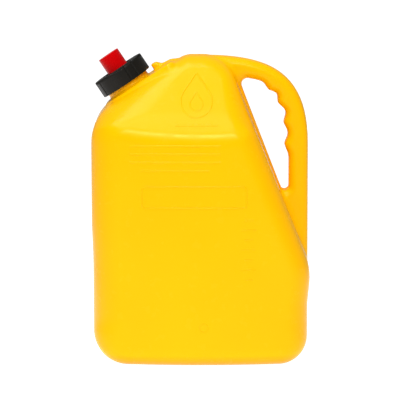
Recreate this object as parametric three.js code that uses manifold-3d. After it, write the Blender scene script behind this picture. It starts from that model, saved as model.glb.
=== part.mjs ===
// A plastic jerry can of about 20 litres, in millimetres, +Z up, standing on z = 0, its handle towards +X.
// One moulded body carries the tank, the D-handle and a threaded neck on the sloping left shoulder. A screw
// collar clamps the pourer on the neck, and a screw cap closes the pourer's outlet. The pouring spout is
// stowed upside down inside the tank.
import * as THREE from 'three';
import { mergeVertices } from 'three/addons/utils/BufferGeometryUtils.js';
import Module from 'manifold-3d';

const wasm = await Module();
wasm.setup();

// ---------- Driving dimensions ----------

// Tank
const WIDTH = 310;
const DEPTH = 226;
const HEIGHT = 433.5;
const WALL = 3;
const SIDE_TAPER = 3;            // the left side leans in by this much towards the base
const BOTTOM_RADIUS = 34;
const PLAN_RADIUS = 55;          // upright corners, seen from above
const EDGE_RADIUS = 31;          // round between the front face and the outline
const FACE_BOW = 10;             // how far the broad faces bulge in plan
const CREASE_Z = 321;            // where the broad faces start to lean back
const RIDGE_HALF = 34;           // half the thickness at the top ridge
const BULGE_Z = 134;             // where the diagonal meets the right side
const BULGE_RADIUS = 60;
const BULGE = 0.8;               // how far the right side swells out there
const TOP_RIGHT_X = 40.7;        // where the diagonal meets the top
const CREST_X = -21;             // where the shoulder meets the top
const CREST_RADIUS = 32;
const SHOULDER_Z = 338;          // where the shoulder meets the left side
const SHOULDER_RADIUS = 62;
const PROFILE_RADIUS = 26;       // seen from the side: at the base and at the crease
const RIDGE_RADIUS = 15;
const CORNER_SOFTNESS = 0.45;    // 0 would make the upright corners square
const BASE_RECESS = 3;
const FOOT_WIDTH = 42;           // from the outside of the tank to the recess in its base
const FOOT_RADIUS = 30;

// Handle
const HANDLE_THICKNESS = 46;
const HANDLE_BEVEL = 11;
const HANDLE_X = 152.6;          // outer face of the grip
const HANDLE_DROP = 0.5;         // how far the handle's top lies below the tank's
const HANDLE_FOOT_Z = BULGE_Z + 6;
const BEND_Z = 306;              // where the grip starts to bend over towards the top
const BEND_CONTROL = [93, 412];  // its control points: x of the upper one, z of the lower one
const GRIP_CENTRE = [40.3, 321.5];
const GRIP_RADIUS = 82;          // inner edge of the grip between the fingers
const FINGER_RADIUS = 14;
const FINGER_DEPTH = 4.4;
const FINGER_ANGLES = [57.2, 38.4, 19.6, 0.8];
const HOLE_TOP = [68.8, 389.8];  // centre of the round at the hole's upper end
const HOLE_TOP_RADIUS = 10;
const HOLE_FOOT = [118.5, 247];  // centre of the round at its lower end
const HOLE_FOOT_RADIUS = 6.2;

// Neck axis: it passes through SEAT, tilted to the left of vertical
const TILT = 34;
const SEAT = new THREE.Vector3(-104.8, 0, 393.5);   // centre of the collar's lower face
const PLATFORM_W = -7;           // height of the platform round the neck, along the neck axis
const PLATFORM_LEFT = -48;
const PLATFORM_RIGHT = 74;
const PLATFORM_HALF = 44;
const PLATFORM_THICKNESS = 30;
const LUG_LEFT = 42.3;           // the lug stands beside the collar on the platform
const LUG_WIDTH = 22;
const LUG_TOP_W = 2.2;
const NECK_RADIUS = 32;
const NECK_BORE = 27;
const NECK_LIP_W = 15.2;
const NECK_ROOT_W = -32;
const NECK_THREAD_W = 4.2;       // where the thread starts
const NECK_CREST = 33.8;         // radius of the thread's crest

// Closure
const FIT_GAP = 0.3;             // air gap between pieces that rest on each other
const COLLAR_RADIUS = 38.7;
const COLLAR_HEIGHT = 24.6;
const COLLAR_LIP = 3;
const COLLAR_HOLE = 23;
const COLLAR_ROOT = 34.5;        // inside the collar, at the thread's root
const COLLAR_CREST = 32.5;
const COLLAR_PITCH = 6;
const COLLAR_TURNS = 1.5;
const COLLAR_MESH = 2.4;         // the collar's thread lies this far below the neck's
const GRIP_GROOVES = [-9.5, 9.5];
const GRIP_ZONES = 4;
const GRIP_START = -65;          // direction of the first grip zone
const GROOVE_RADIUS = 1.3;
const GASKET = 2.5;
const FLANGE = 3;
const FLANGE_RADIUS = 31.8;
const RIM_DEPTH = 8;             // the pourer's rim reaches this far into the neck
const RIM_WALL = 2.4;
const STUB_RADIUS = 11.4;
const STUB_CREST = 12.9;
const STUB_BORE = 9;
const STUB_TOP_W = 44.6;
const STUB_THREAD_W = 34;
const SPIGOT_RADIUS = 12.5;
const SPIGOT_END_W = 2;
const CAP_RADIUS = 16;
const CAP_ROOT = 13.5;           // inside the cap, at the thread's root
const CAP_CREST = 12;
const CAP_TOP_W = 48.4;
const CAP_FOOT_W = 22;
const CAP_CEILING_W = 46.4;
const CAP_PITCH = 4;
const CAP_TURNS = 1.5;
const CAP_MESH = 1.4;            // the cap's thread lies this far below the stub's
const LINER = 1.2;

// Spout
const SOCKET_RADIUS = 17.5;
const SOCKET_BORE = 13;
const SOCKET_TOP_W = 14.5;
const SOCKET_FLOOR_W = -0.3;
const SPOUT_LENGTH = 172;        // below the socket's floor
const O_RING = 2;                // thickness of the O-ring
const O_RING_SEAT_W = 8;         // where the O-ring's groove starts
const O_RING_SEAT_DEPTH = 2.1;
const STRAINER = 1.2;
const STRAINER_HOLE = 1.3;
const STRAINER_RINGS = [[4.2, 6], [8.4, 12]];   // radius and number of holes
const BREATHER_RADIUS = 3;
const BREATHER_WALL = 0.9;
const BREATHER_OFFSET = 3.2;     // from the spout's axis

// How finely round shapes are faceted
const ROUND = 40;
const SMALL_ROUND = 24;
const TINY_ROUND = 12;
const ARC_STEPS = 3;
const GRIP_ARC_STEPS = 8;
const INSIDE_ARC_STEPS = 5;

// ---------- Solids ----------

const V2 = (x, y) => new THREE.Vector2(x, y);
const radians = THREE.MathUtils.degToRad;

function solid(geometry) {
  const bare = geometry.clone();
  bare.deleteAttribute('normal');
  bare.deleteAttribute('uv');
  const merged = mergeVertices(bare, 1e-4);
  return new wasm.Manifold(new wasm.Mesh({
    numProp: 3,
    vertProperties: merged.attributes.position.array,
    triVerts: new Uint32Array(merged.index.array),
  }));
}

function geometryOf(manifold) {
  const { vertProperties, triVerts } = manifold.getMesh();
  const geometry = new THREE.BufferGeometry();
  geometry.setAttribute('position', new THREE.BufferAttribute(new Float32Array(vertProperties), 3));
  geometry.setIndex(new THREE.BufferAttribute(new Uint32Array(triVerts), 1));
  const flat = geometry.toNonIndexed();
  flat.computeVertexNormals();
  return flat;
}

// A solid of revolution about +Z. The profile is [radius, z] points, anticlockwise round the section.
function revolve(profile, segments = ROUND) {
  const points = profile.map(([r, z]) => V2(r, z));
  if (profile[0][0] > 0) points.push(points[0].clone());
  return solid(new THREE.LatheGeometry(points, segments).rotateX(Math.PI / 2));
}

const ring = (inner, outer, low, high, segments) =>
  revolve([[inner, low], [outer, low], [outer, high], [inner, high]], segments);
const disc = (radius, low, high, segments) => ring(0, radius, low, high, segments);

// A prism of a shape, centred along its own axis. right and up are the world directions of the shape's axes.
const FRONT = [new THREE.Vector3(1, 0, 0), new THREE.Vector3(0, 0, 1)];
const SIDE = [new THREE.Vector3(0, 1, 0), new THREE.Vector3(0, 0, 1)];
const PLAN = [new THREE.Vector3(1, 0, 0), new THREE.Vector3(0, 1, 0)];

function prism(shape, [right, up], length, bevel = 0, steps = ARC_STEPS, bevelSegments = 3) {
  const geometry = new THREE.ExtrudeGeometry(shape, {
    depth: length - 2 * bevel,
    curveSegments: steps,
    bevelEnabled: bevel > 0,
    bevelThickness: bevel,
    bevelSize: bevel,
    bevelOffset: -bevel,
    bevelSegments,
  });
  geometry.translate(0, 0, bevel - length / 2);
  const along = new THREE.Vector3().crossVectors(right, up);
  geometry.applyMatrix4(new THREE.Matrix4().makeBasis(right, up, along));
  return solid(geometry);
}

// A closed shape with rounded corners from [x, y, radius] corners in anticlockwise order.
function rounded(corners) {
  const outline = new THREE.Shape();
  corners.forEach(([x, y, radius], i) => {
    const corner = V2(x, y);
    const [bx, by] = corners.at(i - 1);
    const [nx, ny] = corners[(i + 1) % corners.length];
    const back = V2(bx, by).sub(corner).normalize();
    const on = V2(nx, ny).sub(corner).normalize();
    const half = back.angleTo(on) / 2;
    const centre = back.clone().add(on).normalize().multiplyScalar(radius / Math.sin(half)).add(corner);
    const reach = radius / Math.tan(half);
    const first = back.multiplyScalar(reach).add(corner).sub(centre);
    const last = on.multiplyScalar(reach).add(corner).sub(centre);
    outline.absarc(centre.x, centre.y, radius, first.angle(), last.angle(), first.cross(last) < 0);
  });
  return outline;
}

// The same corners moved inwards by a wall thickness. Every corner of the ring of corners is convex.
function inset(corners, wall) {
  const edge = (a, b) => {
    const along = V2(b[0] - a[0], b[1] - a[1]).normalize();
    const inwards = V2(-along.y, along.x);
    return { at: V2(a[0], a[1]).addScaledVector(inwards, wall), along };
  };
  return corners.map((corner, i) => {
    const before = edge(corners.at(i - 1), corner);
    const after = edge(corner, corners[(i + 1) % corners.length]);
    const across = after.at.clone().sub(before.at).cross(after.along) / before.along.cross(after.along);
    const moved = before.at.addScaledVector(before.along, across);
    return [moved.x, moved.y, corner[2] - wall];
  });
}

// A screw ridge of trapezium section about +Z. It starts at height low and turns anticlockwise as it climbs.
// It fades into the wall over its first and last twelfth of a turn. crest may be outside or inside the root.
function screwRidge({ root, crest, low, pitch, turns, rootWidth, crestWidth, segments = ROUND }) {
  const steps = Math.round(turns * segments);
  const fade = segments / 12;
  const buried = root - Math.sign(crest - root) * 0.8;
  const positions = [];
  const index = [];
  for (let i = 0; i <= steps; i += 1) {
    const angle = (2 * Math.PI * i) / segments;
    const z = low + (pitch * i) / segments;
    const full = Math.min(1, (Math.min(i, steps - i) + 0.2) / fade);
    const tip = root + (crest - root) * full;
    const section = [
      [buried, -rootWidth / 2],
      [tip, -crestWidth / 2],
      [tip, crestWidth / 2],
      [buried, rootWidth / 2],
    ];
    section.forEach(([r, rise]) => positions.push(r * Math.cos(angle), r * Math.sin(angle), z + rise));
  }
  const quad = (a, b, c, d) => index.push(a, b, c, a, c, d);
  for (let i = 0; i < steps; i += 1) {
    for (let k = 0; k < 4; k += 1) {
      const a = 4 * i + k;
      const b = 4 * i + ((k + 1) % 4);
      quad(b, a, a + 4, b + 4);
    }
  }
  const end = 4 * steps;
  quad(0, 1, 2, 3);
  quad(end + 3, end + 2, end + 1, end);
  if (crest < root) index.reverse();
  const geometry = new THREE.BufferGeometry();
  geometry.setAttribute('position', new THREE.Float32BufferAttribute(positions, 3));
  geometry.setIndex(index);
  return solid(geometry);
}

const union = (...parts) => parts.reduce((whole, part) => whole.add(part));

// ---------- Can body ----------

const neckFrame = new THREE.Matrix4()
  .makeRotationY(radians(-TILT))
  .setPosition(SEAT);
const onNeck = (part) => solid(geometryOf(part).applyMatrix4(neckFrame));

const halfWidth = WIDTH / 2;
const halfDepth = DEPTH / 2;

const tankCorners = [
  [-halfWidth + SIDE_TAPER, 0, BOTTOM_RADIUS],
  [halfWidth - 1.5 * SIDE_TAPER, 0, BOTTOM_RADIUS],
  [halfWidth + BULGE, BULGE_Z, BULGE_RADIUS],
  [TOP_RIGHT_X, HEIGHT, CREST_RADIUS],
  [CREST_X, HEIGHT, CREST_RADIUS],
  [-halfWidth, SHOULDER_Z, SHOULDER_RADIUS],
];
const profileCorners = [
  [-halfDepth, 0, PROFILE_RADIUS],
  [halfDepth, 0, PROFILE_RADIUS],
  [halfDepth, CREASE_Z, PROFILE_RADIUS],
  [RIDGE_HALF, HEIGHT, RIDGE_RADIUS],
  [-RIDGE_HALF, HEIGHT, RIDGE_RADIUS],
  [-halfDepth, CREASE_Z, PROFILE_RADIUS],
];

// The plan of the tank: bowed long sides, joined to the short sides by soft corners.
// Its second half is its first half turned round.
function planShape(wall) {
  const x = halfWidth - wall;
  const y = halfDepth - FACE_BOW - wall;
  const radius = PLAN_RADIUS - wall;
  const soft = radius * CORNER_SOFTNESS;
  const lean = 0.3 * FACE_BOW;
  const shape = new THREE.Shape();
  shape.moveTo(radius - x, -y);
  for (const s of [1, -1]) {
    shape.quadraticCurveTo(0, -s * (y + 2 * FACE_BOW), s * (x - radius), -s * y);
    shape.bezierCurveTo(s * (x - soft), s * (lean - y), s * x, s * (soft - y), s * x, s * (radius - y));
    shape.lineTo(s * x, s * (y - radius));
    shape.bezierCurveTo(s * x, s * (y - soft), s * (x - soft), s * (y - lean), s * (x - radius), s * y);
  }
  return shape;
}

function tank(wall) {
  const front = prism(rounded(inset(tankCorners, wall)), FRONT, DEPTH - 2 * wall, EDGE_RADIUS - wall);
  const plan = prism(planShape(wall), PLAN, 2 * HEIGHT + 40, 0, INSIDE_ARC_STEPS);
  const profile = prism(rounded(inset(profileCorners, wall)), SIDE, WIDTH + 10);
  return front.intersect(plan).intersect(profile);
}

// The handle's outer edge runs on from the tank's top and right side. Its hidden corners lie inside the tank.
function handleOutline(edge, top) {
  const outline = new THREE.Shape();
  const [bendX, bendZ] = BEND_CONTROL;
  outline.moveTo(edge, HANDLE_FOOT_Z);
  outline.lineTo(edge, BEND_Z);
  outline.bezierCurveTo(edge, bendZ, bendX, top, 0, top);
  outline.lineTo(0, top - 70);
  outline.lineTo(60, 300);
  outline.lineTo(110, HANDLE_FOOT_Z);
  return outline;
}

// The hole is a long triangle between the tank's diagonal and the grip, with all its corners round.
function handleHole(grow, reach) {
  const hole = new THREE.Path();
  hole.absarc(...HOLE_TOP, HOLE_TOP_RADIUS + grow, radians(200), radians(92), true);
  hole.absarc(...GRIP_CENTRE, reach, radians(57), radians(-12), true);
  hole.absarc(HOLE_FOOT[0] + grow / 2, HOLE_FOOT[1], HOLE_FOOT_RADIUS + grow, 0, radians(200), true);
  hole.closePath();
  return hole;
}

function handle() {
  const outline = handleOutline(HANDLE_X, HEIGHT - HANDLE_DROP);
  outline.holes.push(handleHole(0, GRIP_RADIUS));
  return prism(outline, FRONT, HANDLE_THICKNESS, HANDLE_BEVEL, GRIP_ARC_STEPS);
}

// The handle is hollow and open to the tank. Its inner wall clears the deepest finger groove.
function handleInside() {
  const outline = handleOutline(HANDLE_X - WALL, HEIGHT - HANDLE_DROP - WALL);
  outline.holes.push(handleHole(WALL, GRIP_RADIUS + FINGER_DEPTH + WALL));
  return prism(outline, FRONT, HANDLE_THICKNESS - 2 * WALL, HANDLE_BEVEL - WALL, INSIDE_ARC_STEPS, 2);
}

function fingerGroove(angle) {
  const [cx, cz] = GRIP_CENTRE;
  const reach = GRIP_RADIUS + FINGER_DEPTH - FINGER_RADIUS;
  const groove = new THREE.CylinderGeometry(FINGER_RADIUS, FINGER_RADIUS, DEPTH, 24);
  groove.translate(cx + reach * Math.cos(radians(angle)), 0, cz + reach * Math.sin(radians(angle)));
  return solid(groove);
}

// The platform that the neck stands on, and the lug beside the collar, in the neck's own frame.
function platform() {
  const corners = [
    [PLATFORM_LEFT, -PLATFORM_HALF, 30],
    [PLATFORM_RIGHT, -PLATFORM_HALF, 12],
    [PLATFORM_RIGHT, PLATFORM_HALF, 12],
    [PLATFORM_LEFT, PLATFORM_HALF, 30],
  ];
  const block = prism(rounded(corners), PLAN, PLATFORM_THICKNESS, 6);
  return block.translate([0, 0, PLATFORM_W - PLATFORM_THICKNESS / 2]);
}

function lug() {
  const foot = -24;
  const shape = new THREE.Shape();
  shape.moveTo(LUG_LEFT, foot);
  shape.lineTo(LUG_LEFT, LUG_TOP_W - 1.7);
  shape.quadraticCurveTo(LUG_LEFT + 0.3, LUG_TOP_W, LUG_LEFT + 2.2, LUG_TOP_W);
  shape.lineTo(LUG_LEFT + 8.2, LUG_TOP_W - 0.4);
  shape.quadraticCurveTo(LUG_LEFT + 12.7, PLATFORM_W + 2.4, LUG_LEFT + 19.7, PLATFORM_W + 1);
  shape.lineTo(PLATFORM_RIGHT - 1, PLATFORM_W - 1.5);
  shape.quadraticCurveTo(PLATFORM_RIGHT + 5, PLATFORM_W - 5, PLATFORM_RIGHT + 8, foot);
  return prism(shape, FRONT, LUG_WIDTH, 1.5, 2);
}

function foot(height, grow) {
  const x = halfWidth - FOOT_WIDTH + grow;
  const y = halfDepth - FOOT_WIDTH + grow;
  const corners = [[-x, -y], [x, -y], [x, y], [-x, y]].map((corner) => [...corner, FOOT_RADIUS]);
  return prism(rounded(corners), PLAN, 2 * height);
}

const neckThread = screwRidge({
  root: NECK_RADIUS,
  crest: NECK_CREST,
  low: NECK_THREAD_W,
  pitch: COLLAR_PITCH,
  turns: COLLAR_TURNS,
  rootWidth: 2.6,
  crestWidth: 1.4,
});

const bodyOutside = union(
  tank(0),
  handle(),
  onNeck(platform()),
  onNeck(lug()),
  onNeck(ring(NECK_BORE - 3, NECK_RADIUS, NECK_ROOT_W, NECK_LIP_W)),
  onNeck(neckThread),
);
const bodyInside = union(
  tank(WALL).subtract(foot(BASE_RECESS + WALL, WALL)),
  handleInside(),
  onNeck(disc(NECK_BORE, NECK_ROOT_W - 40, NECK_LIP_W + 5)),
);
const fingers = union(...FINGER_ANGLES.map(fingerGroove));
const canBody = bodyOutside.subtract(bodyInside).subtract(fingers).subtract(foot(BASE_RECESS, 0));

// ---------- Closure, in the neck's own frame ----------

function closureRing() {
  const underLip = COLLAR_HEIGHT - COLLAR_LIP;
  const shell = revolve([
    [COLLAR_ROOT, 0],
    [COLLAR_RADIUS - 0.8, 0],
    [COLLAR_RADIUS, 0.8],
    [COLLAR_RADIUS, COLLAR_HEIGHT - 1.6],
    [COLLAR_RADIUS - 1.6, COLLAR_HEIGHT],
    [COLLAR_HOLE, COLLAR_HEIGHT],
    [COLLAR_HOLE, underLip],
    [COLLAR_ROOT, underLip],
  ]);
  const thread = screwRidge({
    root: COLLAR_ROOT,
    crest: COLLAR_CREST,
    low: NECK_THREAD_W - COLLAR_MESH,
    pitch: COLLAR_PITCH,
    turns: COLLAR_TURNS,
    rootWidth: 2.4,
    crestWidth: 1.3,
  });
  const grooves = [];
  for (let zone = 0; zone < GRIP_ZONES; zone += 1) {
    for (const side of GRIP_GROOVES) {
      const angle = radians(GRIP_START + side + (360 / GRIP_ZONES) * zone);
      const cutter = new THREE.CylinderGeometry(GROOVE_RADIUS, GROOVE_RADIUS, 2 * COLLAR_HEIGHT, 8);
      cutter.rotateX(Math.PI / 2);
      cutter.translate(COLLAR_RADIUS * Math.cos(angle), COLLAR_RADIUS * Math.sin(angle), COLLAR_HEIGHT);
      grooves.push(solid(cutter));
    }
  }
  return shell.add(thread).subtract(union(...grooves));
}

function pourerBase() {
  const seat = NECK_LIP_W + GASKET + 2 * FIT_GAP;
  const deck = seat + FLANGE;
  const rim = NECK_BORE - 2 * FIT_GAP;
  const shell = revolve([
    [STUB_BORE, SPIGOT_END_W],
    [SPIGOT_RADIUS, SPIGOT_END_W],
    [SPIGOT_RADIUS, seat],
    [rim - RIM_WALL, seat],
    [rim - RIM_WALL, seat - RIM_DEPTH],
    [rim, seat - RIM_DEPTH],
    [rim, seat],
    [FLANGE_RADIUS, seat],
    [FLANGE_RADIUS, deck],
    [STUB_RADIUS, deck],
    [STUB_RADIUS, STUB_TOP_W - 1],
    [STUB_RADIUS - 1, STUB_TOP_W],
    [STUB_BORE, STUB_TOP_W],
  ], SMALL_ROUND);
  const thread = screwRidge({
    root: STUB_RADIUS,
    crest: STUB_CREST,
    low: STUB_THREAD_W,
    pitch: CAP_PITCH,
    turns: CAP_TURNS,
    rootWidth: 1.8,
    crestWidth: 0.9,
    segments: SMALL_ROUND,
  });
  return shell.add(thread);
}

function neckGasket() {
  const low = NECK_LIP_W + FIT_GAP;
  return ring(NECK_BORE, NECK_RADIUS - 0.4, low, low + GASKET);
}

function redCap() {
  const shell = revolve([
    [0, CAP_CEILING_W],
    [CAP_ROOT, CAP_CEILING_W],
    [CAP_ROOT, CAP_FOOT_W],
    [CAP_RADIUS - 0.4, CAP_FOOT_W],
    [CAP_RADIUS, CAP_FOOT_W + 0.8],
    [CAP_RADIUS, CAP_TOP_W - 0.8],
    [CAP_RADIUS - 0.8, CAP_TOP_W],
    [0, CAP_TOP_W],
  ]);
  const thread = screwRidge({
    root: CAP_ROOT,
    crest: CAP_CREST,
    low: STUB_THREAD_W - CAP_MESH,
    pitch: CAP_PITCH,
    turns: CAP_TURNS,
    rootWidth: 1.6,
    crestWidth: 0.8,
    segments: SMALL_ROUND,
  });
  return shell.add(thread);
}

function capLiner() {
  const low = STUB_TOP_W + FIT_GAP;
  return disc(CAP_ROOT - 0.6, low, low + LINER, SMALL_ROUND);
}

// ---------- Spout, stowed on the spigot ----------

const tipW = SOCKET_FLOOR_W - SPOUT_LENGTH;
const seatTopW = O_RING_SEAT_W + O_RING + 2 * FIT_GAP;

function spoutTube() {
  return revolve([
    [7, tipW],
    [8.6, tipW],
    [9.6, tipW + 4],
    [12, SOCKET_FLOOR_W - 16],
    [13.2, SOCKET_FLOOR_W - 6],
    [SOCKET_RADIUS, SOCKET_FLOOR_W - 1],
    [SOCKET_RADIUS, SOCKET_TOP_W - 1],
    [SOCKET_RADIUS - 1, SOCKET_TOP_W],
    [SOCKET_BORE, SOCKET_TOP_W],
    [SOCKET_BORE, seatTopW],
    [SOCKET_BORE + O_RING_SEAT_DEPTH, seatTopW],
    [SOCKET_BORE + O_RING_SEAT_DEPTH, O_RING_SEAT_W],
    [SOCKET_BORE, O_RING_SEAT_W],
    [SOCKET_BORE, SOCKET_FLOOR_W],
    [10.4, SOCKET_FLOOR_W],
  ], SMALL_ROUND);
}

function spoutORing() {
  const centre = SPIGOT_RADIUS + FIT_GAP + O_RING / 2;
  const shape = new THREE.TorusGeometry(centre, O_RING / 2, 8, SMALL_ROUND);
  return solid(shape.translate(0, 0, (O_RING_SEAT_W + seatTopW) / 2));
}

function spoutStrainer() {
  const low = SOCKET_FLOOR_W + FIT_GAP;
  const holes = [];
  for (const [radius, count] of [[0, 1], ...STRAINER_RINGS]) {
    for (let i = 0; i < count; i += 1) {
      const angle = (2 * Math.PI * i) / count;
      const hole = new THREE.CylinderGeometry(STRAINER_HOLE, STRAINER_HOLE, 4 * STRAINER, 6);
      hole.rotateX(Math.PI / 2);
      holes.push(solid(hole.translate(radius * Math.cos(angle), radius * Math.sin(angle), low)));
    }
  }
  return disc(SOCKET_BORE - 0.4, low, low + STRAINER, SMALL_ROUND).subtract(union(...holes));
}

function breatherTube() {
  const bore = BREATHER_RADIUS - BREATHER_WALL;
  const tube = ring(bore, BREATHER_RADIUS, tipW + 3, SOCKET_FLOOR_W - 2, TINY_ROUND);
  return tube.translate([0, BREATHER_OFFSET, 0]);
}

// ---------- Materials and assembly ----------

const plastic = (color, roughness) => new THREE.MeshStandardMaterial({ color, roughness, metalness: 0 });
const yellow = plastic(0xffcc00, 0.42);
const black = plastic(0x231f1c, 0.38);
const red = plastic(0xdc0308, 0.32);
const nitrile = plastic(0x161616, 0.7);
const natural = plastic(0xe8e4d8, 0.5);

const can = new THREE.Group();
const closure = new THREE.Group();
closure.position.copy(SEAT);
closure.rotation.y = radians(-TILT);
can.add(closure);

function addPiece(group, name, manifold, material) {
  const mesh = new THREE.Mesh(geometryOf(manifold), material);
  mesh.name = name;
  group.add(mesh);
}

addPiece(can, 'can_body', canBody, yellow);
addPiece(closure, 'closure_ring', closureRing(), black);
addPiece(closure, 'pourer_base', pourerBase(), black);
addPiece(closure, 'neck_gasket', neckGasket(), nitrile);
addPiece(closure, 'red_cap', redCap(), red);
addPiece(closure, 'cap_liner', capLiner(), natural);
addPiece(closure, 'spout_tube', spoutTube(), black);
addPiece(closure, 'spout_o_ring', spoutORing(), nitrile);
addPiece(closure, 'spout_strainer', spoutStrainer(), natural);
addPiece(closure, 'breather_tube', breatherTube(), natural);

export default can;
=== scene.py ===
"""A yellow plastic jerry can with a black screw collar and a red outlet cap.

The body is one moulded shell. It is described by a signed distance, in millimetres, and meshed by a surface
net. The screw pieces are turned about the neck's axis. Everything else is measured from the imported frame.
"""

import math

import bmesh
import bpy
import numpy as np
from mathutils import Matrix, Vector


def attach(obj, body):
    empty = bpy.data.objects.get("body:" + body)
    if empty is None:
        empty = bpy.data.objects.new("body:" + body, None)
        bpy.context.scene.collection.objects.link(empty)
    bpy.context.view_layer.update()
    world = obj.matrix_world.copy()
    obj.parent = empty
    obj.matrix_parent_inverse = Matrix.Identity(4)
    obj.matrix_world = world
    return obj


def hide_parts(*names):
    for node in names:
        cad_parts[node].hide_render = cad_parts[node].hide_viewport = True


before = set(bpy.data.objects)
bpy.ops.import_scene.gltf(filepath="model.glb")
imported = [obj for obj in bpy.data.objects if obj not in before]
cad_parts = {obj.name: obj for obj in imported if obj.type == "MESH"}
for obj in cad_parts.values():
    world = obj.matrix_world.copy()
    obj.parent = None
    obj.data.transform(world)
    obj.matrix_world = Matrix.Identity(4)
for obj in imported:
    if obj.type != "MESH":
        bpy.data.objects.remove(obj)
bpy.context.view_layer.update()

MM = 0.001

# ---------- Dimensions, in millimetres ----------

# Tank
LEFT_X = -154.0
LEFT_FOOT_X = -151.5
RIGHT_FOOT_X = 150.8
BULGE_X = 156.3                  # the diagonal and the right side would meet here
BULGE_Z = 134
HEIGHT = 433.4
TOP_RIGHT_X = 36.0               # where the diagonal meets the top
CREST_X = -21.4                  # where the shoulder meets the top
SHOULDER_Z = 349.5               # where the shoulder meets the left side
HALF_DEPTH = 111.9
BOW = (9, 22)                    # how far the broad faces fall back at their ends: at the crease, at the base
BOW_SPAN = (300, 60)             # the bow grows from one of these heights to the other
CREASE_Z = 321                   # the broad faces lean back above this height
CREASE_HEIGHT = 16               # a narrow bevel between the upright and the leaning face
CREASE_LEAN = math.radians(18)
CREASE_ROUNDS = (5, 9)           # rounds below and above the bevel
RIDGE_HALF = 34                  # half the thickness at the top
SIDE_ROUNDS = (40, 30)           # between the broad faces and the outline: on the left, on the right
TOP_ROUND = 17
BASE_ROUND = 25
WALL = 5                         # more than two cells of the grid, so that both sides of the wall are caught
BASE_RECESS = 3
RECESS_HALF = (113, 71)
RECESS_CORNER = 30

# Handle
PLATE_HALF = 23
PLATE_ROUND = 11
PLATE_FILLET = 8                 # at most, where the handle leaves the tank
HANDLE_X = 152.8                 # outer face of the grip
HANDLE_TOP = 432.6
BEND_Z = 306                     # the grip bends over towards the top above this height
# Crests between the fingers, and the depth of each finger's hollow
CRESTS = ((119.6, 306.4), (118.3, 337.3), (110.3, 365.5), (96.2, 384.6), (76.3, 399.4))
HOLLOWS = (5.2, 6.6, 5.7, 3.4)
HOLE_TOP = (67.2, 391.4)
HOLE_TOP_RADIUS = 9.3
HOLE_FOOT = (119.7, 247)
HOLE_FOOT_RADIUS = 5.9
# Below the lowest crest the grip's edge eases out: how far short of the foot's right side it is, and z
EASE = ((4.1, 300.3), (1.1, 293.5), (0, 287))

# Neck: its axis passes through SEAT, tilted to the left of vertical; w is measured along it
TILT = math.radians(34)
SEAT = np.array((-104.8, 0.0, 393.5))
AXIS = np.array((-math.sin(TILT), 0.0, math.cos(TILT)))
ACROSS = np.array((math.cos(TILT), 0.0, math.sin(TILT)))
Y_AXIS = np.array((0.0, 1.0, 0.0))
PLATFORM_W = -8
PLATFORM_U = (-43, 73)
PLATFORM_HALF = 44
PLATFORM_CORNERS = (30, 12)      # seen along the axis: on the left, on the right
PLATFORM_EDGE = 6
PLATFORM_THICKNESS = 29
LUG_HALF = 10
LUG_ROUND = 3.5
NECK_RADIUS = 32
NECK_BORE = 27.1
NECK_TOP_W = 15.2
NECK_ROOT_W = -30
BORE_ROOT_W = -60
STUB_W = 2.4                     # the moulded neck is turned separately above this

CELL = 2.0


# ---------- Outlines ----------

def arc(centre, radius, start, end, step=4):
    """Points on an arc from one direction to another, in degrees."""
    count = max(2, int(abs(end - start) / step) + 1)
    angles = np.radians(np.linspace(start, end, count))
    return [(centre[0] + radius * math.cos(a), centre[1] + radius * math.sin(a)) for a in angles]


def bezier(a, b, c, d, count=24):
    """Points on a cubic curve."""
    t = np.linspace(0, 1, count)[:, None]
    a, b, c, d = (np.array(p, float) for p in (a, b, c, d))
    first_half = (1 - t) ** 3 * a + 3 * t * (1 - t) ** 2 * b
    return [tuple(p) for p in first_half + 3 * t * t * (1 - t) * c + t**3 * d]


def rounded(corners, step=6):
    """A closed outline from (x, y, radius) corners."""
    points = []
    for i, (x, y, radius) in enumerate(corners):
        corner = np.array((x, y), float)
        if radius <= 0:
            points.append(tuple(corner))
            continue
        back = np.array(corners[i - 1][:2], float) - corner
        on = np.array(corners[(i + 1) % len(corners)][:2], float) - corner
        back /= np.linalg.norm(back)
        on /= np.linalg.norm(on)
        half = math.acos(np.clip(back @ on, -1, 1)) / 2
        middle = (back + on) / np.linalg.norm(back + on)
        centre = corner + middle * radius / math.sin(half)
        first = corner + back * radius / math.tan(half) - centre
        turn = math.pi - 2 * half
        if back[0] * on[1] - back[1] * on[0] > 0:
            turn = -turn
        start = math.atan2(first[1], first[0])
        count = max(2, int(math.degrees(abs(turn)) / step) + 2)
        for angle in np.linspace(start, start + turn, count):
            points.append((centre[0] + radius * math.cos(angle), centre[1] + radius * math.sin(angle)))
    return points


def tank_outline():
    return rounded([
        (LEFT_FOOT_X, 0, 48),
        (RIGHT_FOOT_X, 0, 40),
        (RIGHT_FOOT_X + 0.3, 84, 40),
        (BULGE_X, BULGE_Z, 85),
        (TOP_RIGHT_X, HEIGHT, 48),
        (CREST_X, HEIGHT, 32),
        (LEFT_X - 0.4, SHOULDER_Z, 66),
        (LEFT_X, 195, 300),
        (LEFT_X + 1.9, 150, 200),
    ])


def handle_outline():
    hidden = [(0, HANDLE_TOP - 70), (60, 300), (110, 140)]
    bend = bezier((HANDLE_X, BEND_Z), (HANDLE_X, 412.5), (94.5, HANDLE_TOP), (0, HANDLE_TOP))
    return [(HANDLE_X, 140)] + bend + hidden


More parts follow.
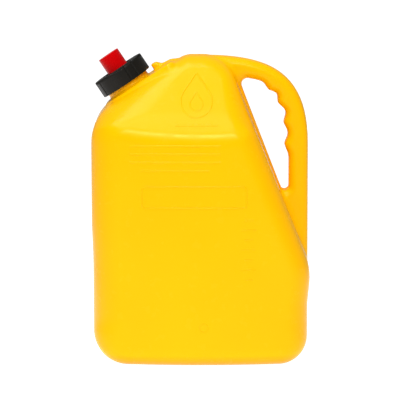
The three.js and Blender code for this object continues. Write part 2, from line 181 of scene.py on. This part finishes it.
def grip_edge():
    """The inner edge of the grip: a shallow hollow for each finger between narrow crests."""
    points = []
    for low, high, depth in zip(CRESTS, CRESTS[1:], HOLLOWS):
        low, high = np.array(low), np.array(high)
        along = high - low
        out = np.array((along[1], -along[0])) / np.linalg.norm(along)
        for t in np.linspace(0, 1, 20, endpoint=False):
            hollow = (0.5 - 0.5 * math.cos(2 * math.pi * t)) ** 0.75
            points.append(tuple(low + t * along + depth * hollow * out))
    return points[::-1]


def hole_outline():
    inner = HOLE_FOOT[0] + HOLE_FOOT_RADIUS
    return (
        arc(HOLE_TOP, HOLE_TOP_RADIUS, 200, 92, 8)
        + grip_edge()
        + [(inner - short, z) for short, z in EASE]
        + arc(HOLE_FOOT, HOLE_FOOT_RADIUS, 0, -160, 12)
    )


def to_world(u, w):
    """x and z of a point in the neck's plane."""
    return (SEAT[0] + u * ACROSS[0] + w * AXIS[0], SEAT[2] + u * ACROSS[2] + w * AXIS[2])


def lug_outline():
    corners = [
        (42.3, -24, 0),
        (92, -24, 0),
        (78, -11.5, 6),
        (72, -8.2, 8),
        (56.5, -5.2, 6),
        (50.6, 1.6, 4),
        (42.3, 2.4, 1.8),
    ]
    return [to_world(u, w) for u, w in rounded(corners, 10)]


# ---------- Signed distances ----------

def outline_distance(points, x, z):
    """Signed distance to a closed outline, negative inside."""
    best = np.full(np.broadcast(x, z).shape, 1e9)
    inside = np.zeros(best.shape, bool)
    for (ax, az), (bx, bz) in zip(points, points[1:] + points[:1]):
        ex, ez = bx - ax, bz - az
        length = ex * ex + ez * ez
        if length < 1e-9:
            continue
        t = np.clip(((x - ax) * ex + (z - az) * ez) / length, 0, 1)
        best = np.minimum(best, (x - ax - t * ex) ** 2 + (z - az - t * ez) ** 2)
        if az != bz:
            inside ^= ((az <= z) != (bz <= z)) & (x < ax + (z - az) * ex / ez)
    return np.where(inside, -1, 1) * np.sqrt(best)


class OutlineMap:
    """An outline's signed distance on a fine grid, read back by interpolation."""

    LOW = (-170, -20)
    HIGH = (170, 460)
    STEP = 1.0

    def __init__(self, points):
        x = np.arange(self.LOW[0], self.HIGH[0] + 1, self.STEP)
        z = np.arange(self.LOW[1], self.HIGH[1] + 1, self.STEP)
        self.table = outline_distance(points, x[:, None], z[None, :])

    def __call__(self, x, z):
        x, z = np.broadcast_arrays(x, z)
        i = np.clip((x - self.LOW[0]) / self.STEP, 0, self.table.shape[0] - 1.001)
        k = np.clip((z - self.LOW[1]) / self.STEP, 0, self.table.shape[1] - 1.001)
        i0, k0 = i.astype(int), k.astype(int)
        i, k = i - i0, k - k0
        low = self.table[i0, k0] * (1 - i) + self.table[i0 + 1, k0] * i
        high = self.table[i0, k0 + 1] * (1 - i) + self.table[i0 + 1, k0 + 1] * i
        return low * (1 - k) + high * k


def round_max(a, b, radius):
    """The part inside both a and b, with a rounded edge."""
    corner = np.hypot(np.maximum(a + radius, 0), np.maximum(b + radius, 0))
    return np.minimum(np.maximum(a, b), -radius) + corner


def round_min(a, b, radius):
    """The part inside a or b, with a fillet between them."""
    return -round_max(-a, -b, radius)


def smooth_step(low, high, value):
    t = np.clip((value - low) / (high - low), 0, 1)
    return t * t * (3 - 2 * t)


def rounded_box(x, y, half_x, half_y, radius):
    """Signed distance to a rectangle with round corners."""
    qx = np.abs(x) - half_x + radius
    qy = np.abs(y) - half_y + radius
    return np.hypot(np.maximum(qx, 0), np.maximum(qy, 0)) + np.minimum(np.maximum(qx, qy), 0) - radius


tank_map = OutlineMap(tank_outline())
handle_map = OutlineMap(handle_outline())
hole_map = OutlineMap(hole_outline())
lug_map = OutlineMap(lug_outline())


def broad_faces(x, y, z):
    """The bowed front and back faces, which lean back to the ridge above the crease."""
    out = np.abs(y) - HALF_DEPTH
    bow = BOW[0] + (BOW[1] - BOW[0]) * smooth_step(*BOW_SPAN, z)
    wall = out + bow * (x / 150) ** 2
    bevel = out * math.cos(CREASE_LEAN) + (z - CREASE_Z) * math.sin(CREASE_LEAN)
    roof_z = CREASE_Z + CREASE_HEIGHT
    roof_out = -CREASE_HEIGHT * math.tan(CREASE_LEAN)
    lean = math.atan2(HALF_DEPTH + roof_out - RIDGE_HALF, HEIGHT - roof_z)
    roof = (out - roof_out) * math.cos(lean) + (z - roof_z) * math.sin(lean)
    return round_max(round_max(wall, bevel, CREASE_ROUNDS[0]), roof, CREASE_ROUNDS[1])


def edge_radius(x, z):
    """The round between the broad faces and the outline."""
    left, right = SIDE_ROUNDS
    side = left + (right - left) * smooth_step(-60, 60, x)
    upper = side + (TOP_ROUND - side) * smooth_step(345, 420, z)
    return upper + (BASE_ROUND - upper) * smooth_step(70, 10, z)


def shell(x, y, z):
    """Tank and handle together."""
    tank_2d = tank_map(x, z)
    whole_2d = np.maximum(np.minimum(tank_2d, handle_map(x, z)), -hole_map(x, z))
    tank = round_max(tank_2d, broad_faces(x, y, z), edge_radius(x, z))
    plate = round_max(whole_2d, np.abs(y) - PLATE_HALF, PLATE_ROUND)
    fillet = np.clip(-0.6 * whole_2d, 0.01, PLATE_FILLET)
    return round_min(tank, plate, fillet)


def neck_frame(x, y, z):
    """u across the neck, v = y, and w along its axis."""
    dx, dz = x - SEAT[0], z - SEAT[2]
    return dx * ACROSS[0] + dz * ACROSS[2], y, dx * AXIS[0] + dz * AXIS[2]


def body(x, y, z):
    """Signed distance to the moulded body."""
    u, v, w = neck_frame(x, y, z)
    hull = shell(x, y, z)
    middle = sum(PLATFORM_U) / 2
    corner = np.where(u < middle, *PLATFORM_CORNERS)
    plan = rounded_box(u - middle, v, PLATFORM_U[1] - middle, PLATFORM_HALF, corner)
    platform_top = round_max(plan, w - PLATFORM_W, PLATFORM_EDGE)
    platform = np.maximum(platform_top, PLATFORM_W - PLATFORM_THICKNESS - w)
    lug = round_max(lug_map(x, z), np.abs(y) - LUG_HALF, LUG_ROUND)
    around = np.hypot(u, v)
    neck = np.maximum(around - NECK_RADIUS, w - STUB_W)
    neck = np.maximum(neck, NECK_ROOT_W - w)
    out = round_min(hull, platform, 5)
    out = round_min(out, lug, 3.5)
    out = round_min(out, neck, 4)
    inside = np.maximum(hull + WALL, BASE_RECESS + WALL - z)
    bore = np.maximum(around - NECK_BORE, BORE_ROOT_W - w)
    out = np.maximum(out, -round_min(inside, bore, 2))
    recess = np.maximum(rounded_box(x, y, *RECESS_HALF, RECESS_CORNER), z - BASE_RECESS)
    return round_max(out, -recess, 1.5)


# ---------- Meshes ----------

def surface_net(field, low, step):
    """Vertices and quads of a grid's zero level, one vertex in each cell that the surface crosses."""
    inside = field < 0
    shape = tuple(n - 1 for n in field.shape)
    total = np.zeros(shape, np.int8)
    corners = [(i, j, k) for i in (0, 1) for j in (0, 1) for k in (0, 1)]
    for i, j, k in corners:
        total += inside[i:i + shape[0], j:j + shape[1], k:k + shape[2]]
    cells = np.argwhere((total > 0) & (total < 8))
    number = np.full(shape, -1, np.int64)
    number[tuple(cells.T)] = np.arange(len(cells))
    place = np.zeros((len(cells), 3))
    count = np.zeros(len(cells))
    for a in corners:
        for axis in range(3):
            if a[axis]:
                continue
            b = list(a)
            b[axis] = 1
            fa = field[tuple((cells + a).T)]
            fb = field[tuple((cells + b).T)]
            crossed = (fa < 0) != (fb < 0)
            t = np.where(crossed, fa / np.where(crossed, fa - fb, 1), 0)
            point = np.array(a) + t[:, None] * (np.array(b) - a)
            place += point * crossed[:, None]
            count += crossed
    vertices = low + step * (cells + place / count[:, None])
    faces = []
    for axis in range(3):
        p, q = (axis + 1) % 3, (axis + 2) % 3
        here = [slice(1, -1)] * 3
        here[axis] = slice(0, -1)
        there = list(here)
        there[axis] = slice(1, None)
        a, b = inside[tuple(here)], inside[tuple(there)]
        for mask, order in ((a & ~b, (0, 1, 2, 3)), (~a & b, (3, 2, 1, 0))):
            at = np.argwhere(mask)
            at[:, p] += 1
            at[:, q] += 1
            ring = []
            for dp, dq in ((-1, -1), (0, -1), (0, 0), (-1, 0)):
                cell = at.copy()
                cell[:, p] += dp
                cell[:, q] += dq
                ring.append(number[tuple(cell.T)])
            faces.append(np.stack([ring[i] for i in order], 1))
    return vertices, np.concatenate(faces)


def gradient(points, step=0.4):
    """Slope of the body's distance at each point."""
    slope = np.empty_like(points)
    for axis in range(3):
        ahead, behind = points.copy(), points.copy()
        ahead[:, axis] += step
        behind[:, axis] -= step
        slope[:, axis] = (body(*ahead.T) - body(*behind.T)) / (2 * step)
    return slope


def settle(points, rounds=3):
    """Moves points on to the body's surface."""
    for _ in range(rounds):
        slope = gradient(points)
        size = np.maximum((slope**2).sum(1), 0.25)
        move = (body(*points.T) / size)[:, None] * slope
        points = points - np.clip(move, -CELL / 2, CELL / 2)
    return points


def new_object(name, vertices, faces, material, rider, slot, *nodes):
    """A mesh object, in metres, that rides on a body and stands for CAD nodes."""
    mesh = bpy.data.meshes.new(name)
    mesh.from_pydata([tuple(p) for p in np.asarray(vertices) * MM], [], [tuple(f) for f in faces])
    mesh.update()
    piece = bpy.data.objects.new(name, mesh)
    bpy.context.scene.collection.objects.link(piece)
    mesh.materials.append(material)
    mesh.shade_smooth()
    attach(piece, rider)
    if nodes:
        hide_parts(*nodes)
    return piece


def tidy_mesh(piece, sharp=40):
    """Joins doubled vertices, points the faces outwards and keeps edges over an angle sharp."""
    shape = bmesh.new()
    shape.from_mesh(piece.data)
    bmesh.ops.remove_doubles(shape, verts=shape.verts, dist=1e-6)
    bmesh.ops.recalc_face_normals(shape, faces=shape.faces)
    shape.to_mesh(piece.data)
    shape.free()
    piece.data.set_sharp_from_angle(angle=math.radians(sharp))
    return piece


def make_body(material):
    half = np.arange(0, HALF_DEPTH + 2 * CELL, CELL)
    x = np.arange(-160, 160 + CELL, CELL)
    z = np.arange(-4, HEIGHT + 3 * CELL, CELL)
    field = body(x[:, None, None], half[None, :, None], z[None, None, :])
    field = np.concatenate([field[:, :0:-1], field], axis=1)
    vertices, faces = surface_net(field, np.array((x[0], -half[-1], z[0])), CELL)
    return new_object("body_shell", settle(vertices), faces, material, "tank", "body_plastic", "can_body")


# ---------- Turned pieces, in the neck's own frame ----------

def dense(profile, step):
    """The same closed outline with no stretch longer than step."""
    points = []
    for a, b in zip(profile, profile[1:] + profile[:1]):
        count = max(1, math.ceil(math.dist(a, b) / step))
        points += [(a[0] + (b[0] - a[0]) * i / count, a[1] + (b[1] - a[1]) * i / count) for i in range(count)]
    return points


def turned(name, corners, segments, material, rider, slot, *nodes, shape=None, step=None, offset=0, sharp=40):
    """A solid of revolution about the neck's axis from (radius, w, rounding) corners.

    shape(radius, w, angle) may move the surface in or out. offset shifts the axis along Y.
    """
    profile = rounded(corners, 15)
    if step:
        profile = dense(profile, step)
    radius = np.array([p[0] for p in profile])[None, :]
    w = np.array([p[1] for p in profile])[None, :]
    angle = np.linspace(0, 2 * math.pi, segments, endpoint=False)[:, None]
    if shape:
        radius = shape(radius, w, angle)
    radius = radius + 0 * angle
    u, v = radius * np.cos(angle), radius * np.sin(angle) + offset
    w = w + 0 * u
    points = SEAT + u[..., None] * ACROSS + v[..., None] * Y_AXIS + w[..., None] * AXIS
    count = len(profile)
    index = np.arange(segments * count).reshape(segments, count)
    after = np.roll(index, -1, 0)
    faces = np.stack([index, np.roll(index, -1, 1), np.roll(after, -1, 1), after], -1).reshape(-1, 4)
    piece = new_object(name, points.reshape(-1, 3), faces, material, rider, slot, *nodes)
    return tidy_mesh(piece, sharp)


def thread(start_w, pitch, turns, width, height, wall):
    """A shape function: a screw ridge on the wall at that radius. A negative height points inwards."""
    def shape(radius, w, angle):
        wound = np.zeros(np.broadcast(radius, w, angle).shape)
        for lap in range(math.ceil(turns) + 1):
            along = angle / (2 * math.pi) + lap
            ridge_w = start_w + pitch * along
            fade = smooth_step(0, 0.1, along) * smooth_step(turns, turns - 0.1, along)
            bump = smooth_step(width, 0.45 * width, np.abs(w - ridge_w)) * fade
            wound = np.maximum(wound, bump)
        on_wall = np.abs(radius - wall) < 0.05
        return np.where(on_wall, radius + height * wound, radius)
    return shape


COLLAR_RADIUS = 38.6
COLLAR_HEIGHT = 24.6
COLLAR_HOLE = 23
COLLAR_ROOT = 34.6
GRIP_GROOVES = (-9.5, 9.5)
GRIP_ZONES = 4
GRIP_START = -65
GROOVE_WIDTH = 1.5
GROOVE_DEPTH = 1.1
SERRATIONS = 120


def collar_shape(radius, w, angle):
    """Grip grooves down the collar's outside, and fine serrations round its upper edge."""
    inner = thread(1.8, 6, 1.5, 1.35, -1.9, COLLAR_ROOT)(radius, w, angle)
    depth = np.zeros(inner.shape)
    for zone in range(GRIP_ZONES):
        for side in GRIP_GROOVES:
            middle = math.radians(GRIP_START + side + 360 / GRIP_ZONES * zone)
            away = np.abs((angle - middle + math.pi) % (2 * math.pi) - math.pi) * COLLAR_RADIUS
            depth = np.maximum(depth, GROOVE_DEPTH * smooth_step(GROOVE_WIDTH, 0.3, away))
    outside = smooth_step(COLLAR_RADIUS - 3.2, COLLAR_RADIUS - 1.8, radius)
    teeth = 0.5 + 0.5 * np.cos(SERRATIONS * angle)
    rim = smooth_step(COLLAR_HEIGHT - 3.4, COLLAR_HEIGHT - 2.4, w) * outside
    return inner - depth * outside - 0.55 * teeth * rim


def make_collar(material):
    return turned(
        "collar",
        [
            (COLLAR_ROOT + 0.9, 0.1, 0.3),
            (COLLAR_RADIUS, 0.1, 0.8),
            (COLLAR_RADIUS, COLLAR_HEIGHT, 1.6),
            (COLLAR_RADIUS - 4.2, COLLAR_HEIGHT, 0.5),
            (COLLAR_RADIUS - 4.8, COLLAR_HEIGHT - 0.7, 0.5),
            (COLLAR_HOLE + 4.6, COLLAR_HEIGHT - 0.7, 0.5),
            (COLLAR_HOLE + 4.0, COLLAR_HEIGHT, 0.5),
            (COLLAR_HOLE + 0.1, COLLAR_HEIGHT, 0.6),
            (COLLAR_HOLE + 0.1, COLLAR_HEIGHT - 2.9, 0.4),
            (COLLAR_ROOT, COLLAR_HEIGHT - 2.9, 0.6),
            (COLLAR_ROOT, 1.0, 0),
        ],
        720, material, "ring", "collar_plastic", "closure_ring", shape=collar_shape, step=0.7,
    )


def make_neck(material):
    return turned(
        "neck_thread",
        [
            (NECK_BORE + 0.05, -3, 0),
            (NECK_RADIUS - 1, -3, 0),
            (NECK_RADIUS - 1, STUB_W - 1, 0),
            (NECK_RADIUS, STUB_W - 0.3, 0),
            (NECK_RADIUS, NECK_TOP_W, 0.8),
            (NECK_BORE + 0.05, NECK_TOP_W, 0.8),
        ],
        240, material, "tank", "body_plastic", shape=thread(4.2, 6, 1.5, 1.4, 1.75, NECK_RADIUS), step=0.5,
    )


def make_gasket(material):
    return turned(
        "gasket",
        [(27.1, 15.55, 0.5), (31.5, 15.55, 0.5), (31.5, 17.95, 0.5), (27.1, 17.95, 0.5)],
        96, material, "pourer", "seal_rubber", "neck_gasket",
    )


STUB_RADIUS = 11.4
STUB_TOP_W = 44.6
SEAT_W = 18.3


def make_pourer(material):
    return turned(
        "pourer",
        [
            (9, 2, 0.5),
            (12.4, 2, 0.8),
            (12.4, SEAT_W, 0.4),
            (24, SEAT_W, 0.4),
            (24, SEAT_W - 7.9, 0.4),
            (26.3, SEAT_W - 7.9, 0.7),
            (26.3, SEAT_W, 0.3),
            (31.7, SEAT_W, 0.5),
            (31.7, 21.2, 0.5),
            (19.6, 21.2, 1.2),
            (18.0, 20.6, 0.5),
            (STUB_RADIUS, 20.6, 1.5),
            (STUB_RADIUS, STUB_TOP_W, 0.9),
            (9, STUB_TOP_W, 0.9),
        ],
        144, material, "pourer", "collar_plastic", "pourer_base",
        shape=thread(34, 4, 1.5, 0.95, 1.45, STUB_RADIUS), step=0.5,
    )


CAP_RADIUS = 15.95
CAP_ROOT = 13.55
CAP_TOP_W = 48.3


def make_cap(material):
    return turned(
        "outlet_cap",
        [
            (0, 46.45, 0),
            (CAP_ROOT, 46.45, 0.8),
            (CAP_ROOT, 22.05, 0.3),
            (CAP_RADIUS, 22.05, 0.5),
            (CAP_RADIUS, CAP_TOP_W, 0.9),
            (9.6, CAP_TOP_W, 0.3),
            (9.2, CAP_TOP_W - 0.35, 0.3),
            (0, CAP_TOP_W - 0.35, 0),
        ],
        192, material, "cap", "cap_plastic", "red_cap",
        shape=thread(32.6, 4, 1.5, 0.85, -1.4, CAP_ROOT), step=0.5,
    )


def make_liner(material):
    return turned(
        "liner_disc",
        [(0, 44.95, 0), (12.8, 44.95, 0.3), (12.8, 46.05, 0.3), (0, 46.05, 0)],
        96, material, "liner", "natural_plastic", "cap_liner",
    )


TIP_W = -172.3


def make_spout(material):
    return turned(
        "spout",
        [
            (7.05, TIP_W + 0.05, 0.5),
            (8.6, TIP_W + 0.05, 0.6),
            (9.6, TIP_W + 4, 2),
            (11.95, -16.3, 8),
            (13.1, -6.5, 3),
            (17.4, -1.3, 1),
            (17.4, 14.4, 1),
            (13.05, 14.4, 0.5),
            (13.05, 10.55, 0),
            (15.0, 10.55, 0.3),
            (15.0, 8.05, 0.3),
            (13.05, 8.05, 0),
            (13.05, -0.25, 0),
            (10.35, -0.25, 0.4),
        ],
        96, material, "spout", "spout_plastic", "spout_tube",
    )


def make_o_ring(material):
    return turned(
        "o_ring",
        [(12.85, 8.35, 0.94), (14.75, 8.35, 0.94), (14.75, 10.25, 0.94), (12.85, 10.25, 0.94)],
        96, material, "spout", "seal_rubber", "spout_o_ring",
    )


def make_breather(material):
    return turned(
        "breather",
        [(2.15, -169.2, 0.2), (2.95, -169.2, 0.2), (2.95, -2.4, 0.2), (2.15, -2.4, 0.2)],
        32, material, "spout", "natural_plastic", "breather_tube", offset=3.2,
    )


# ---------- Ridges moulded on the body ----------

def front_surface(x, z):
    """y of the body's front at each x, z."""
    y = np.full(np.shape(x), -HALF_DEPTH - 4)
    for _ in range(40):
        y = y + 0.9 * body(x, y, z)
    return y


def slope_at(points):
    slope = gradient(points)
    return slope / np.linalg.norm(slope, axis=1)[:, None]


def ridge_section(width, height, sink):
    """A low round-topped rib as (across, out) points, closed below the surface."""
    top = [(0.5 * width * math.cos(a), height * math.sin(a)) for a in np.linspace(0, math.pi, 7)]
    return top + [(-0.5 * width, -sink), (0.5 * width, -sink)]


def sweep(rows, closed):
    """Vertices and faces of a tube through equal rows of points."""
    vertices = np.concatenate(rows)
    count, length = len(rows), len(rows[0])
    faces = []
    for i in range(count if closed else count - 1):
        for k in range(length):
            a, b = i * length + k, i * length + (k + 1) % length
            c, d = ((i + 1) % count) * length + (k + 1) % length, ((i + 1) % count) * length + k
            faces.append((a, b, c, d))
    if not closed:
        faces.append(tuple(range(length))[::-1])
        faces.append(tuple(range((count - 1) * length, count * length)))
    return vertices, faces


def path_sides(path, closed):
    """The sideways direction at each point of a path in the x, z plane."""
    path = np.asarray(path, float)
    if closed:
        along = np.roll(path, -1, 0) - np.roll(path, 1, 0)
    else:
        along = np.gradient(path, axis=0)
    along /= np.linalg.norm(along, axis=1)[:, None]
    return np.stack([-along[:, 1], along[:, 0]], 1)


def face_rib(path, closed=True, width=2.2, height=0.6):
    """A rib along a path on the front face, with points (x, z)."""
    path = np.asarray(path, float)
    side = path_sides(path, closed)
    section = ridge_section(width, height, 0.5)
    columns = []
    for across, out in section:
        x, z = (path + across * side).T
        points = np.stack([x, front_surface(x, z), z], 1)
        columns.append(points + out * slope_at(points))
    return sweep(list(np.stack(columns, 1)), closed)


def seam_path(centre, start, end, reach, count):
    """Points of the body's outline at y = 0, found by looking from centre or towards it."""
    angles = np.radians(np.linspace(start, end, count))
    towards = np.stack([np.cos(angles), 0 * angles, np.sin(angles)], 1)
    middle = np.array((centre[0], 0.0, centre[1]))
    distance = np.full(count, float(reach))
    sign = -1 if reach > 0 else 1
    for _ in range(80):
        distance += sign * 0.8 * body(*(middle + distance[:, None] * towards).T)
    return (middle + distance[:, None] * towards)[:, [0, 2]]


def seam(path, closed):
    """The parting line of the mould: a fine ridge round the outline."""
    points = np.stack([path[:, 0], 0 * path[:, 0], path[:, 1]], 1)
    out = slope_at(points)
    columns = []
    for across, height in ridge_section(1.1, 0.35, 0.6):
        columns.append(points + height * out + across * Y_AXIS)
    return sweep(list(np.stack(columns, 1)), closed)


def spread(path, step=2.5, closed=True):
    """The same path with evenly small steps."""
    path = [np.array(p, float) for p in path]
    pairs = zip(path, path[1:] + path[:1]) if closed else zip(path, path[1:])
    points = []
    for a, b in pairs:
        count = max(1, math.ceil(np.linalg.norm(b - a) / step))
        points += [a + (b - a) * i / count for i in range(count)]
    if not closed:
        points.append(path[-1])
    return points


def frame_path(x, z, half_x, half_z, radius):
    signs = ((-1, -1), (1, -1), (1, 1), (-1, 1))
    return spread(rounded([(x + i * half_x, z + k * half_z, radius) for i, k in signs], 15))


def drop_path(x, z, radius, tip):
    """A drop: a round bottom and a pointed top."""
    half = math.degrees(math.acos(radius / tip))
    sides = arc((x, z), radius, 90 - half, -270 + half, 8)
    return spread(sides + [(x, z + tip)])


def line_path(x, z, length):
    return spread([(x - length / 2, z), (x + length / 2, z)], closed=False)


MARK_X = -6


def make_relief(material):
    """Plain raised marks where the moulding carries its signs: outlines and lines without any lettering."""
    ribs = [
        face_rib(drop_path(MARK_X, 373, 22, 38)),
        face_rib(drop_path(MARK_X, 369, 9, 16), width=1.8, height=0.5),
        face_rib(line_path(MARK_X, 340.5, 60), False, width=3.2, height=0.5),
        face_rib(frame_path(-9, 240, 73, 15, 5)),
    ]
    for row in range(4):
        ribs.append(face_rib(line_path(-36, 312 - 11.5 * row, 128 if row < 3 else 96), False, 3.0, 0.4))
    for row in range(7):
        ribs.append(face_rib(line_path(67, 208 - 14 * row, 20 if row % 2 else 12), False, 2.0, 0.5))
    ribs.append(face_rib(spread(arc((4, 56), 6, 0, 345, 15)), width=1.6, height=0.4))
    ribs.append(seam(seam_path((0, 215), -40, 107, 330, 420), False))
    ribs.append(seam(seam_path((0, 215), 141, 220, 330, 200), False))
    ribs.append(seam(seam_path((95, 325), 0, 357, -1, 240), True))
    vertices, faces, base = [], [], 0
    for points, quads in ribs:
        vertices.append(points)
        faces += [tuple(base + i for i in quad) for quad in quads]
        base += len(points)
    piece = new_object("body_relief", np.concatenate(vertices), faces, material, "tank", "body_plastic")
    return tidy_mesh(piece, 50)


# ---------- Materials ----------

class Nodes:
    """A short way to build a material's node tree."""

    def __init__(self, name):
        self.material = bpy.data.materials.new(name)
        self.material.use_nodes = True
        self.tree = self.material.node_tree
        self.shader = self.tree.nodes["Principled BSDF"]
        self.place = self.tree.nodes.new("ShaderNodeTexCoord").outputs["Object"]

    def link(self, source, target):
        self.tree.links.new(source, target)

    def noise(self, scale, detail=3.0, roughness=0.5):
        node = self.tree.nodes.new("ShaderNodeTexNoise")
        node.inputs["Scale"].default_value = scale
        node.inputs["Detail"].default_value = detail
        node.inputs["Roughness"].default_value = roughness
        self.link(self.place, node.inputs["Vector"])
        return node.outputs["Fac"]

    def ramp(self, value, low, high, to_low, to_high):
        node = self.tree.nodes.new("ShaderNodeMapRange")
        for name, number in (("From Min", low), ("From Max", high), ("To Min", to_low), ("To Max", to_high)):
            node.inputs[name].default_value = number
        self.link(value, node.inputs["Value"])
        return node.outputs["Result"]

    def axis(self, name):
        """One coordinate of the shaded point, in metres."""
        node = self.tree.nodes.new("ShaderNodeSeparateXYZ")
        self.link(self.place, node.inputs[0])
        return node.outputs[name]

    def math(self, operation, first, second=None, third=None):
        node = self.tree.nodes.new("ShaderNodeMath")
        node.operation = operation
        for socket, value in zip(node.inputs, (first, second, third)):
            if isinstance(value, (int, float)):
                socket.default_value = value
            elif value:
                self.link(value, socket)
        return node.outputs[0]

    def mix(self, factor, first, second):
        node = self.tree.nodes.new("ShaderNodeMix")
        node.data_type = "RGBA"
        self.link(factor, node.inputs["Factor"])
        for socket, colour in ((node.inputs[6], first), (node.inputs[7], second)):
            if isinstance(colour, tuple):
                socket.default_value = (*colour, 1)
            else:
                self.link(colour, socket)
        return node.outputs[2]

    def bump(self, height, distance, strength=1.0, after=None):
        node = self.tree.nodes.new("ShaderNodeBump")
        node.inputs["Strength"].default_value = strength
        node.inputs["Distance"].default_value = distance
        self.link(height, node.inputs["Height"])
        if after:
            self.link(after, node.inputs["Normal"])
        return node.outputs["Normal"]


def moulded(name, colour, second, roughness, specular, grain=900.0, depth=0.00004, tint=(1, 1, 1), painted_foot_shade=None):
    """Moulded plastic: a faint cloudy colour, uneven gloss and a fine skin texture.

    The last argument, where it is given, is a darker colour painted on the lowest few millimetres: painted
    shade along the base.
    """
    nodes = Nodes(name)
    cloud = nodes.ramp(nodes.noise(9, 4), 0.35, 0.65, 0, 1)
    base = nodes.mix(cloud, colour, second)
    # Painted shade: the lowest few millimetres of the base take the darker colour.
    if painted_foot_shade:
        base = nodes.mix(nodes.ramp(nodes.axis("Z"), 0.002, 0.016, 1, 0), base, painted_foot_shade)
    nodes.link(base, nodes.shader.inputs["Base Color"])
    uneven = nodes.ramp(nodes.noise(55, 4, 0.6), 0.3, 0.7, roughness - 0.05, roughness + 0.06)
    nodes.link(uneven, nodes.shader.inputs["Roughness"])
    skin = nodes.bump(nodes.noise(grain, 2), depth)
    waves = nodes.bump(nodes.noise(26, 2), 0.0006, 0.25, skin)
    nodes.link(waves, nodes.shader.inputs["Normal"])
    nodes.shader.inputs["Specular IOR Level"].default_value = specular
    nodes.shader.inputs["Specular Tint"].default_value = (*tint, 1)
    return nodes.material


yellow = moulded(
    "yellow_hdpe",
    (1.0, 0.497, 0.0),
    (1.0, 0.485, 0.0),
    0.24,
    0.2,
    tint=(1, 0.9, 0.34),
    # painted shade: a darker orange on the lowest few millimetres of the base
    painted_foot_shade=(0.92, 0.33, 0.0),
)
black = moulded("black_plastic", (0.007, 0.0066, 0.005), (0.011, 0.01, 0.008), 0.3, 0.16, 1400)
red = moulded("red_plastic", (0.62, 0.001, 0.002), (0.58, 0.001, 0.002), 0.3, 0.25, 1400, tint=(1, 0.1, 0.1))
dark = moulded("spout_plastic", (0.03, 0.028, 0.026), (0.04, 0.037, 0.034), 0.5, 0.5, 1400)
white = moulded("natural_plastic", (0.8, 0.77, 0.68), (0.74, 0.71, 0.62), 0.45, 0.5, 1400)
rubber = moulded("seal_rubber", (0.012, 0.012, 0.012), (0.018, 0.018, 0.018), 0.65, 0.4, 2200)


# ---------- The object ----------

make_body(yellow)
make_relief(yellow)
make_neck(yellow)
make_collar(black)
make_pourer(black)
make_gasket(rubber)
make_cap(red)
make_liner(white)
make_spout(dark)
make_o_ring(rubber)
make_breather(white)
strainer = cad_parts["spout_strainer"]
strainer.data.materials.clear()
strainer.data.materials.append(white)


# ---------- Floor, light and camera ----------

def make_floor():
    mesh = bpy.data.meshes.new("floor")
    shape = bmesh.new()
    bmesh.ops.create_circle(shape, cap_ends=True, radius=60, segments=96)
    shape.to_mesh(mesh)
    shape.free()
    floor = bpy.data.objects.new("floor", mesh)
    bpy.context.scene.collection.objects.link(floor)
    nodes = Nodes("pale_glowing_floor")
    speckle = nodes.noise(3.0, 2)
    nodes.link(nodes.mix(speckle, (0.5, 0.5, 0.5), (0.52, 0.52, 0.52)), nodes.shader.inputs["Base Color"])
    nodes.shader.inputs["Roughness"].default_value = 0.9
    nodes.shader.inputs["Specular IOR Level"].default_value = 0.0
    # Painted light: the floor glows and lights the can as a lamp would. Its glow dims beside the can and far
    # in front, which leaves the can's sides darker.
    nodes.shader.inputs["Emission Color"].default_value = (1, 1, 1, 1)
    outside = nodes.math("MULTIPLY_ADD", nodes.axis("Y"), -0.08, nodes.math("ABSOLUTE", nodes.axis("X")))
    beside = nodes.ramp(outside, 0.45, 1.2, 1.0, 0.4)
    before = nodes.ramp(nodes.axis("Y"), -1.5, -0.6, 0.4, 1.0)
    nodes.link(nodes.math("MINIMUM", beside, before), nodes.shader.inputs["Emission Strength"])
    mesh.materials.append(nodes.material)


def aim(thing, place, target):
    thing.location = place
    thing.rotation_euler = (Vector(target) - Vector(place)).to_track_quat("-Z", "Y").to_euler()
    bpy.context.scene.collection.objects.link(thing)


def soft_box(name, place, target, size, power):
    light = bpy.data.lights.new(name, "AREA")
    light.shape = "RECTANGLE"
    light.size, light.size_y = size
    light.energy = power
    aim(bpy.data.objects.new(name, light), place, target)


make_floor()

world = bpy.data.worlds.new("studio")
world.use_nodes = True
world.node_tree.nodes["Background"].inputs["Color"].default_value = (1, 1, 1, 1)
world.node_tree.nodes["Background"].inputs["Strength"].default_value = 0.25
bpy.context.scene.world = world
bpy.context.scene.view_settings.view_transform = "Standard"

OBJECT_MIDDLE = (0, 0, 0.22)
soft_box("main_box", (-0.25, -1.6, 2.7), OBJECT_MIDDLE, (1.5, 1.1), 30)
soft_box("crease_strip", (0.0, -2.7, 1.95), (0, 0, 0.33), (0.8, 0.22), 32)
soft_box("top_box", (-0.5, -0.2, 2.6), OBJECT_MIDDLE, (1.2, 1.2), 27)

camera = bpy.data.cameras.new("camera")
camera.sensor_width = 36
camera.lens = 303.8
camera.clip_end = 200
view = bpy.data.objects.new("camera", camera)
aim(view, (-0.00093, -4.8, 0.735), (-0.00093, 0, 0.225))
bpy.context.scene.camera = view
